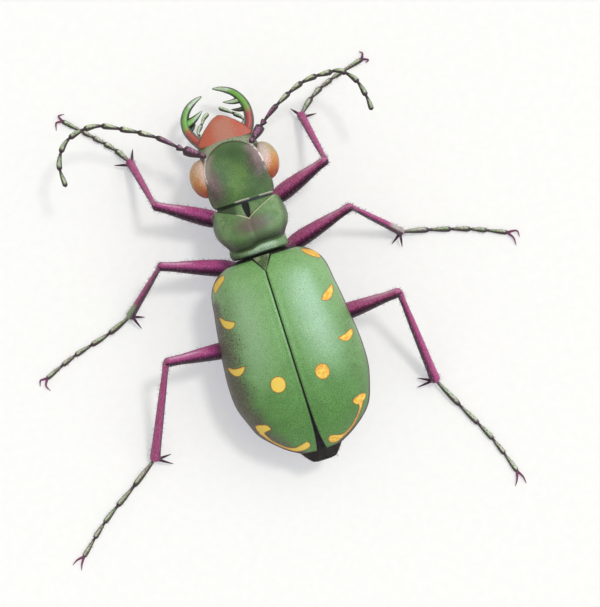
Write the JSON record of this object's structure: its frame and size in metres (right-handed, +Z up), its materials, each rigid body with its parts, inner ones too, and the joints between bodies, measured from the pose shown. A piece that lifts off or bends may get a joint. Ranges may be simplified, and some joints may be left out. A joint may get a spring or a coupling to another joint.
{
  "type": "tiger beetle",
  "caption": "Standing green tiger beetle with domed wing cases, bulging eyes, toothed jaws, long jointed legs and feelers.",
  "frame": {"origin": "on the floor, under the middle of the whole beetle's box", "axes": "+Z up from the floor, +X to the beetle's left, the head points to -Y"},
  "size_m": [0.0224, 0.0212, 0.0051],
  "materials": {
    "wing_case": "silky grainy green with a bronze edge and yellow spots, chitin",
    "body_green": "wrinkled metallic green with bronze patches, chitin",
    "underside": "shiny dark blue-green, chitin",
    "limb_purple": "coppery purple with fine pale bristles, chitin",
    "limb_grey": "grey-green with dark joints, chitin",
    "eye": "glossy amber, finely faceted",
    "lip": "satin orange-red, chitin",
    "jaw": "red at the base, green in the middle and pale at the tips, chitin",
    "palp": "grey-green with reddish joints, chitin"
  },
  "bodies": {
    "root": {"head": "body_green", "labrum": "lip", "mandible_left": "jaw", "mandible_right": "jaw", "eye_left": "eye", "eye_right": "eye", "antenna_base_left": "limb_purple", "antenna_middle_left": "limb_grey", "antenna_tip_left": "limb_grey", "antenna_base_right": "limb_purple", "antenna_middle_right": "limb_grey", "antenna_tip_right": "limb_grey", "palp_maxillary_left": "palp", "palp_maxillary_right": "palp", "palp_labial_left": "palp", "palp_labial_right": "palp", "prothorax": "body_green", "mesothorax": "underside", "metathorax": "underside", "scutellum": "body_green", "abdomen": "underside", "elytron_left": "wing_case", "elytron_right": "wing_case", "coxa_fore_left": "underside", "femur_fore_left": "limb_purple", "tibia_fore_left": "limb_purple", "tarsus_fore_left": "limb_grey", "coxa_fore_right": "underside", "femur_fore_right": "limb_purple", "tibia_fore_right": "limb_purple", "tarsus_fore_right": "limb_grey", "coxa_mid_left": "underside", "femur_mid_left": "limb_purple", "tibia_mid_left": "limb_purple", "tarsus_mid_left": "limb_grey", "coxa_mid_right": "underside", "femur_mid_right": "limb_purple", "tibia_mid_right": "limb_purple", "tarsus_mid_right": "limb_grey", "coxa_hind_left": "underside", "femur_hind_left": "limb_purple", "tibia_hind_left": "limb_purple", "tarsus_hind_left": "limb_grey", "coxa_hind_right": "underside", "femur_hind_right": "limb_purple", "tibia_hind_right": "limb_purple", "tarsus_hind_right": "limb_grey"}
  },
  "joints": []
}
